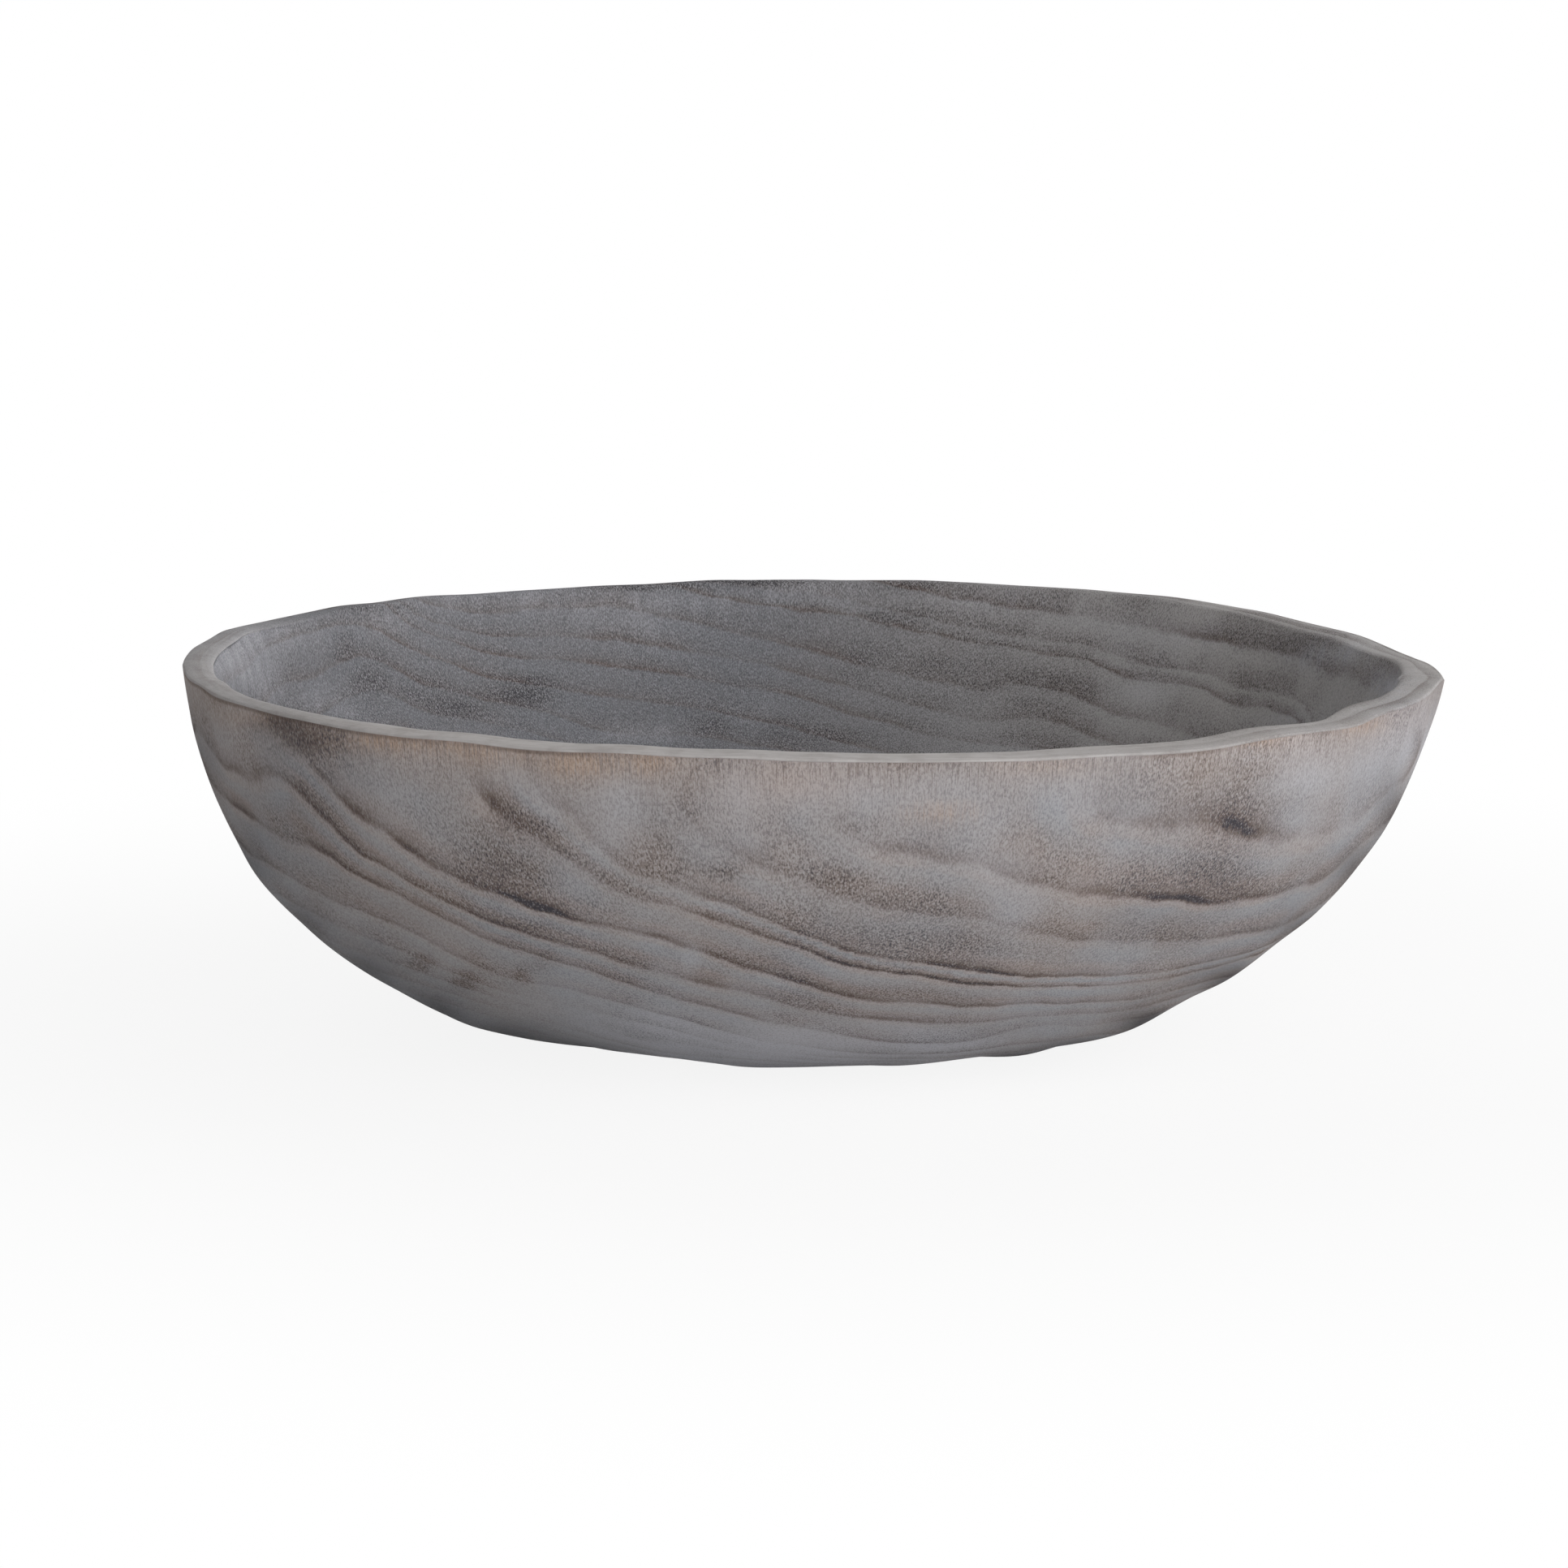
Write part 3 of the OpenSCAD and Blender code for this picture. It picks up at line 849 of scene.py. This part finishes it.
# Painted shade, darkening the lower left and right edges
PAINTED_SHADE_COLOUR = colour(66, 64, 67)
TAN_WOOD = colour(202, 166, 134)
PINK_WOOD = colour(188, 170, 161)
# The rim's top: scraped paler, and with painted light from above
RIM_WOOD = colour(203, 199, 197)
RIM_SHADE = colour(174, 168, 165)
# The hollow: its own cooler tone, darkened as painted shade, and lighter towards the right as painted light
HOLLOW_WOOD_AND_PAINTED_SHADE = colour(115, 118, 124)
HOLLOW_SHADE = colour(50, 52, 57)
HOLLOW_RIGHT_WOOD_AND_PAINTED_LIGHT = colour(198, 195, 193)

# Where a ring's line lies in its own count, and how the line, the pinkish tone beside it, the dark
# spots and the pores run from there to the next ring
LINE_AT = 0.25
LINE_PROFILE = [
    (0.0, 0.0), (0.16, 0.0), (0.22, 0.75), (0.25, 1.0), (0.29, 0.85), (0.36, 0.48), (0.55, 0.16), (0.85, 0.0),
]
PINK_PROFILE = [(0.0, 0.0), (0.1, 0.4), (0.2, 0.45), (0.3, 0.3), (0.5, 0.5), (0.7, 0.0)]
DARK_PROFILE = [(0.0, 0.4), (0.2, 0.4), (0.27, 1.0), (0.6, 0.9), (1.0, 0.45)]
PORE_PROFILE = [(0.0, 0.3), (0.18, 0.35), (0.28, 0.85), (0.5, 0.7), (0.8, 0.45), (1.0, 0.3)]
# The share of pores where no ring shows
PLAIN_PORES = 0.5

# Below, sizes are in millimetres. A span says over which values of the noise or place something
# sets in, and its shares say how much of it there is at the span's two ends.
WHOLE = (0.0, 1.0)
# Noise runs about this middle, and some of it is finer or rougher than the rest
NOISE_MIDDLE = 0.5
FINE_DETAIL = 3.0
ROUGH = 0.6

# Lines: drawn aside by fibres and waves in shares of a ring, uneven, and faint near the rim
FRAY_SIZE = 1.0
FRAY_STRETCH = (1, 1, 0.2)
FRAY_SHARE = 0.1
WAVE_SIZE = 18.0
WAVE_SHARE = 0.25
UNEVEN_SIZE = 30.0
UNEVEN_SPAN = (0.32, 0.68)
UNEVEN_SHARES = (0.35, 1.2)
LINE_DEPTHS = (4.0, 24.0)
LINE_DEPTH_SHARES = (0.15, 1.0)
LINE_SHARE = 0.85
CORE_SPAN = (0.85, 1.7)
CORE_SHARE = 0.85

# Grain: its pores and the pale grain between them, brightened as painted glints, in patches, and how it
# changes across the hollow
PORE_SIZE = 0.52
HOLLOW_PORE_SIZE = 0.4
PORE_STRETCH = (1, 1, 0.4)
PORE_SPAN = (0.42, 0.7)
PAINTED_GLINT_SPAN = (0.5, 0.3)
PAINTED_GLINT_SHARE = 0.5
GRAIN_SHARES = (0.3, 0.88)
PATCH_SIZE = 26.0
PATCH_SPAN = (0.35, 0.66)
PATCH_SHARES = (0.3, 0.95)
PALE_MOST = 0.95
RIGHT_SPAN = (-40.0, 170.0)
LEFT_RING_SHARES = (1.0, 0.4)
LEFT_GRAIN = 0.28
RIGHT_GRAIN = 0.15
STIPPLE_SHARES = (0.3, 0.65)
DARK_SHARE = 0.4

# Fibres: tan wood and brown streaks down the wall under the rim
FIBRE_SIZE = 0.45
FIBRE_STRETCH = 0.05
FIBRE_DEPTHS = (0.0, 20.0)
STREAK_SPAN = (0.48, 0.66)
STREAK_SHARE = 0.45
TAN_SPAN = (0.35, 0.65)
TAN_SHARES = (0.95, 0.3)
RIM_TAN_SHARE = 0.16

# Colours in clouds and smears
CLOUD_SIZE = 45.0
CLOUD_ROUGHNESS = 0.55
CLOUD_SPAN = (0.35, 0.7)
CLOUD_WARMTH = 0.4
GRAIN_WARMTH = 0.6
PINK_SHARE = 0.6
HOLLOW_SHARE = 0.8
PALE_SHARE = 0.3
OUTSIDE_WASH = 0.65
SMEAR_SIZE = 6.0
SMEAR_STRETCH = 0.3
SMEAR_SPAN = (0.38, 0.64)
SMEAR_SHARES = (0.25, 0.8)

# The rim's top, scraped along its length, soiled, and with painted light from above; the line of dirt and
# painted shadow under its edge; and the painted shade on the lower sides
SCRAPE_SIZE = 0.9
SCRAPE_COUNT = 14
SCRAPE_SPAN = (0.3, 0.75)
SCRAPE_SHARES = (0.0, 0.5)
SOIL_SIZE = 9.0
SOIL_SPAN = (0.4, 0.7)
SOIL_SHARES = (0.0, 0.5)
RIM_SHARE = 0.9
EDGE_DIRT_AND_SHADOW_DEPTHS = (0.4, 1.6)
EDGE_DIRT_AND_SHADOW_SHARES = (1.0, 0.0)
PAINTED_SHADE_MOST = 0.88

# Relief: how far grain, pores, streaks and lines lie below the skin, as shares of the depth
GRAIN_RELIEF = -0.4
PORE_RELIEF = -0.5
STREAK_RELIEF = -0.3
LINE_RELIEF = -0.3
RELIEF_STRENGTH = 0.6
RELIEF_DEPTH = 0.3
ROUGHNESSES = (0.66, 0.9)
SHINE = 0.04


class Wood:
    """The steps of the wood's looks, from the marks on the mesh to lines, grain, colours and relief."""

    def __init__(self, n):
        self.n = n
        metres = n.add("ShaderNodeTexCoord", {}).outputs["Object"]
        self.place = n.scaled(metres, (1 / MM,) * 3)
        self.hollow = n.attribute("hollow")
        self.outside = n.rest(self.hollow)
        self.below_rim = n.attribute("below_rim")
        # Pale wood where rings don't show, in places partly painted light
        self.pale = n.attribute("pale")
        self.keep = n.rest(n.lower_of(self.pale, PALE_MOST))
        self.ringed = n.rest(n.lower_of(n.attribute("plain"), 1.0))
        self.to_right = n.between(n.parts(self.place)[0], RIGHT_SPAN)
        self.in_right = n.times(self.hollow, self.to_right)
        cloud = n.noise(self.place, CLOUD_SIZE, FINE_DETAIL, CLOUD_ROUGHNESS)
        self.cloudy = n.between(cloud, CLOUD_SPAN)
        self.phase = self.ring_phase()
        self.add_lines()
        self.add_grain()
        self.add_fibres()

    def round_the_wall(self, across, along, up):
        """Coordinates that run round the bowl, with these scales across the wall, along it and up it."""
        n = self.n
        x, y, z = n.parts(self.place)
        radius = n.math("SQRT", n.plus(n.times(x, x), n.times(y, y)))
        return n.add("ShaderNodeCombineXYZ", {
            0: n.times(n.math("DIVIDE", x, radius), along),
            1: n.times(n.math("DIVIDE", y, radius), along),
            2: n.plus(n.times(radius, across), n.times(z, up)),
        }).outputs[0]

    def ring_phase(self):
        """How far each place lies from one ring to the next, with lines frayed by the fibres."""
        n = self.n
        frayed = n.noise(n.scaled(self.place, FRAY_STRETCH), FRAY_SIZE, FINE_DETAIL)
        waved = n.noise(self.place, WAVE_SIZE)
        frayed = n.times(n.minus(frayed, NOISE_MIDDLE), FRAY_SHARE)
        waved = n.times(n.minus(waved, NOISE_MIDDLE), WAVE_SHARE)
        return n.math("FRACT", n.plus(n.plus(n.attribute("ring"), LINE_AT), n.plus(frayed, waved)))

    def add_lines(self):
        """The rings' dark lines, and how strong they are."""
        n = self.n
        uneven = n.between(n.noise(self.place, UNEVEN_SIZE), UNEVEN_SPAN, UNEVEN_SHARES)
        strength = n.times(n.times(n.attribute("line"), uneven), n.times(self.keep, self.ringed))
        under_rim = n.between(self.below_rim, LINE_DEPTHS, LINE_DEPTH_SHARES)
        self.strength = n.times(strength, n.higher_of(under_rim, self.hollow))
        self.line = n.times(n.profile(self.phase, LINE_PROFILE), self.strength)

    def add_grain(self):
        """Short dashes, faint in smooth wood, plain above each line and in the dark spots."""
        n = self.n
        in_left = n.times(self.hollow, n.rest(self.to_right))
        by_ring = n.minus(n.profile(self.phase, PORE_PROFILE), PLAIN_PORES)
        by_ring = n.plus(n.times(by_ring, self.ringed), PLAIN_PORES)
        by_ring = n.times(by_ring, n.between(in_left, WHOLE, LEFT_RING_SHARES))
        patchy = n.between(n.noise(self.place, PATCH_SIZE), PATCH_SPAN, PATCH_SHARES)
        self.dark = n.times(n.attribute("dark"), n.profile(self.phase, DARK_PROFILE))
        density = n.times(n.plus(n.times(by_ring, patchy), self.dark), self.keep)
        least = n.plus(n.times(in_left, LEFT_GRAIN), n.times(self.in_right, RIGHT_GRAIN))
        self.density = n.lower_of(n.plus(density, least), 1.0)

        fine = n.blend(self.hollow, 1 / PORE_SIZE, 1 / HOLLOW_PORE_SIZE)
        stretched = n.scaled(self.place, PORE_STRETCH)
        pore_place = n.add("ShaderNodeVectorMath", {0: stretched, 3: fine}, operation="SCALE").outputs[0]
        self.grain = n.noise(pore_place, 1.0, roughness=ROUGH)
        amount = n.between(self.density, WHOLE, GRAIN_SHARES)
        self.pores = n.times(n.between(self.grain, PORE_SPAN), amount)
        # Pale grain between the pores, brightened as painted glints of lit relief
        self.pale_grain_and_painted_glints = n.times(n.between(self.grain, PAINTED_GLINT_SPAN), n.times(amount, PAINTED_GLINT_SHARE))

    def add_fibres(self):
        """Streaks down the steep wall under the rim."""
        n = self.n
        down_the_wall = self.round_the_wall(0.0, RIM_R, FIBRE_STRETCH)
        self.fibre = n.noise(down_the_wall, FIBRE_SIZE, roughness=ROUGH)
        self.near_rim = n.times(n.rest(n.between(self.below_rim, FIBRE_DEPTHS)), self.outside)
        self.streak = n.times(n.between(self.fibre, STREAK_SPAN), self.near_rim)

    def tinted(self):
        """The wood's colours: warm and pinkish places, tan fibres, and the hollow, darkened as painted shade
        and lighter towards the right as painted light.
        """
        n = self.n
        warmth = n.plus(n.times(self.density, GRAIN_WARMTH), n.times(self.cloudy, CLOUD_WARMTH))
        wood = n.mix(warmth, PALE_WOOD, WARM_WOOD)
        wood = n.mix(n.times(n.attribute("pink"), PINK_SHARE), wood, PINK_WOOD)
        beside_line = n.times(n.profile(self.phase, PINK_PROFILE), n.lower_of(self.strength, 1.0))
        wood = n.mix(n.times(beside_line, self.outside), wood, PINK_WOOD)
        tan = n.times(n.attribute("tan"), n.between(self.fibre, TAN_SPAN, TAN_SHARES))
        wood = n.mix(tan, wood, TAN_WOOD)
        # The hollow's cooler tone, darkened as painted shade and lighter towards the right as painted light
        hollow_tone_with_painted_shade_and_light = n.mix(self.to_right, HOLLOW_WOOD_AND_PAINTED_SHADE, HOLLOW_RIGHT_WOOD_AND_PAINTED_LIGHT)
        return n.mix(n.times(self.hollow, HOLLOW_SHARE), wood, hollow_tone_with_painted_shade_and_light)

    def washed(self, wood):
        """The pale wash, smeared down the hollow, and pale wood; in places both are painted light."""
        n = self.n
        smear = n.noise(self.round_the_wall(0.0, RIM_R, SMEAR_STRETCH), SMEAR_SIZE, FINE_DETAIL, ROUGH)
        smeared = n.blend(self.hollow, OUTSIDE_WASH, n.between(smear, SMEAR_SPAN, SMEAR_SHARES))
        # The wash spots are partly painted light
        wood = n.mix(n.times(n.attribute("wash"), smeared), wood, PALE_WASH)
        return n.mix(n.times(self.pale, PALE_SHARE), wood, PALE_WASH)

    def marked(self, wood):
        """Stipple, dark places, streaks, lines, pores, and pale grain brightened as painted glints."""
        n = self.n
        stipple = n.between(self.in_right, WHOLE, STIPPLE_SHARES)
        wood = n.mix(n.times(self.density, stipple), wood, STIPPLE)
        wood = n.mix(n.times(self.dark, DARK_SHARE), wood, n.mix(self.hollow, LINE_BROWN, HOLLOW_SHADE))
        wood = n.mix(n.times(self.near_rim, RIM_TAN_SHARE), wood, TAN_WOOD)
        wood = n.mix(n.times(self.streak, STREAK_SHARE), wood, LINE_BROWN)
        wood = n.mix(n.times(n.lower_of(self.line, 1.0), LINE_SHARE), wood, LINE_BROWN)
        wood = n.mix(n.times(n.between(self.line, CORE_SPAN), CORE_SHARE), wood, LINE_CORE)
        pore_colour = n.mix(self.cloudy, PORE_BLUE, PORE_BROWN)
        wood = n.mix(self.pores, wood, n.mix(self.hollow, pore_colour, HOLLOW_SHADE))
        # Pale grain between the pores, brightened as painted glints
        return n.mix(self.pale_grain_and_painted_glints, wood, PALE_WASH)

    def edged(self, wood):
        """The line of dirt and painted shadow under the rim's edge, the painted shade on the lower sides, and
        the rim's top, scraped and with painted light from above.
        """
        n = self.n
        # Dirt, and painted shadow, in a line under the rim's outer edge
        edge_dirt_and_shadow = n.between(self.below_rim, EDGE_DIRT_AND_SHADOW_DEPTHS, EDGE_DIRT_AND_SHADOW_SHARES)
        edge_dirt_and_shadow = n.times(n.times(edge_dirt_and_shadow, n.attribute("edge_dirt_and_shadow")), self.outside)
        wood = n.mix(edge_dirt_and_shadow, wood, LINE_BROWN)
        # Painted shade, darkening the lower left and right edges
        wood = n.mix(n.lower_of(n.attribute("painted_shade"), PAINTED_SHADE_MOST), wood, PAINTED_SHADE_COLOUR)
        scrape = n.noise(self.round_the_wall(1.0, SCRAPE_COUNT, 0.0), SCRAPE_SIZE, FINE_DETAIL, ROUGH)
        scraped = n.between(scrape, SCRAPE_SPAN, SCRAPE_SHARES)
        soiled = n.between(n.noise(self.place, SOIL_SIZE, FINE_DETAIL, ROUGH), SOIL_SPAN, SOIL_SHARES)
        # The rim's top: scraped and soiled, and with painted light from above
        rim_wood = n.mix(n.plus(scraped, soiled), RIM_WOOD, RIM_SHADE)
        return n.mix(n.times(n.attribute("rim_top"), RIM_SHARE), wood, rim_wood)

    def relief(self):
        """Open pores, and streaks and lines that lie a little lower."""
        n = self.n
        height = n.times(self.grain, GRAIN_RELIEF)
        lower = (self.pores, PORE_RELIEF), (self.streak, STREAK_RELIEF), (self.line, LINE_RELIEF)
        for amount, share in lower:
            height = n.plus(height, n.times(amount, share))
        inputs = {"Strength": RELIEF_STRENGTH, "Distance": RELIEF_DEPTH * MM, "Height": height}
        return n.add("ShaderNodeBump", inputs).outputs[0]


def grey_washed_wood():
    """Coarse-pored wood: dark ring lines, stippled wood above each, smooth pale wood below it."""
    material = bpy.data.materials.new("grey_washed_wood")
    material.use_nodes = True
    n = Nodes(material.node_tree)
    wood = Wood(n)
    shader = n.add("ShaderNodeBsdfPrincipled", {
        "Base Color": wood.edged(wood.marked(wood.washed(wood.tinted()))),
        "Roughness": n.between(n.plus(wood.pores, wood.line), WHOLE, ROUGHNESSES),
        "Specular IOR Level": SHINE,
        "Normal": wood.relief(),
    })
    n.add("ShaderNodeOutputMaterial", {"Surface": shader.outputs[0]})
    return material


# The studio: a pale floor that shows white with the bowl's shadow on it, and a sky with soft lights
FLOOR_HALF = 60.0
FLOOR_COLOUR = (0.72, 0.72, 0.72, 1.0)
WHITE = (1.0, 1.0, 1.0, 1.0)
SHADOW_SPAN = (0.2, 0.6)
SHADOW_SHARES = (0.12, 0.0)
# The sky's soft lights: direction and elevation in degrees, and strength
SKY_LIGHTS = [(270, 8, 2.15), (315, 8, 1.2), (0, 8, 2.8), (150, 15, 0.45), (90, 18, 1.5)]
SKY_LIGHT_POWER = 5.0


def to_eye(n):
    """1 for what the eye sees, straight or in a reflection, and 0 for light that falls on things."""
    path = n.add("ShaderNodeLightPath", {})
    seen = n.higher_of(path.outputs["Is Camera Ray"], path.outputs["Is Glossy Ray"])
    return n.higher_of(seen, path.outputs["Is Transmission Ray"])


def pale_floor():
    """White to the eye but for the bowl's shadow, and pale grey to the light that falls on it."""
    material = bpy.data.materials.new("pale_floor")
    material.use_nodes = True
    n = Nodes(material.node_tree)
    place = n.add("ShaderNodeTexCoord", {}).outputs["Object"]
    away = n.add("ShaderNodeVectorMath", {0: place}, operation="LENGTH").outputs["Value"]
    shadow = n.between(away, SHADOW_SPAN, SHADOW_SHARES)
    seen = to_eye(n)
    lit = n.add("ShaderNodeBsdfDiffuse", {"Color": n.mix(seen, FLOOR_COLOUR, WHITE)}).outputs[0]
    white = n.add("ShaderNodeEmission", {"Color": WHITE, "Strength": 1.0}).outputs[0]
    share = n.times(seen, n.rest(shadow))
    surface = n.add("ShaderNodeMixShader", {0: share, 1: lit, 2: white}).outputs[0]
    n.add("ShaderNodeOutputMaterial", {"Surface": surface})
    return material


def make_floor():
    mesh = bpy.data.meshes.new("floor")
    corners = [(x * FLOOR_HALF, y * FLOOR_HALF, 0) for x, y in ((-1, -1), (1, -1), (1, 1), (-1, 1))]
    mesh.from_pydata(corners, [], [(0, 1, 2, 3)])
    mesh.materials.append(pale_floor())
    return add_object("floor", mesh)


def sky_direction(turn, elevation):
    """The direction towards a place in the sky, from its two angles in degrees."""
    turn = math.radians(turn)
    elevation = math.radians(elevation)
    return math.cos(elevation) * math.cos(turn), math.cos(elevation) * math.sin(turn), math.sin(elevation)


def make_sky():
    world = bpy.data.worlds.new("studio")
    bpy.context.scene.world = world
    world.use_nodes = True
    n = Nodes(world.node_tree)
    direction = n.add("ShaderNodeTexCoord", {}).outputs["Generated"]
    sky = 0.0
    for turn, elevation, bright in SKY_LIGHTS:
        toward = {0: direction, 1: sky_direction(turn, elevation)}
        facing = n.add("ShaderNodeVectorMath", toward, operation="DOT_PRODUCT").outputs["Value"]
        soft = n.math("POWER", n.higher_of(facing, 0.0), SKY_LIGHT_POWER)
        sky = n.plus(sky, n.times(soft, bright))
    strength = n.higher_of(to_eye(n), sky)
    light = n.add("ShaderNodeBackground", {"Color": WHITE, "Strength": strength}).outputs[0]
    n.add("ShaderNodeOutputWorld", {"Surface": light})


def make_camera():
    lens = bpy.data.cameras.new("camera")
    lens.lens = LENS_MM
    lens.sensor_width = SENSOR_MM
    lens.clip_end = FLOOR_HALF * 2
    camera = add_object("camera", lens)
    camera.location = Vector(camera_axes()[0]) * MM
    camera.rotation_euler = (math.radians(RIGHT_ANGLE - CAMERA_ELEVATION), 0, 0)
    bpy.context.scene.camera = camera


bowl = make_bowl(grey_washed_wood())
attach(bowl, "root")
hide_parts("bowl")
make_floor()
make_sky()
make_camera()
bpy.context.scene.view_settings.view_transform = "Standard"
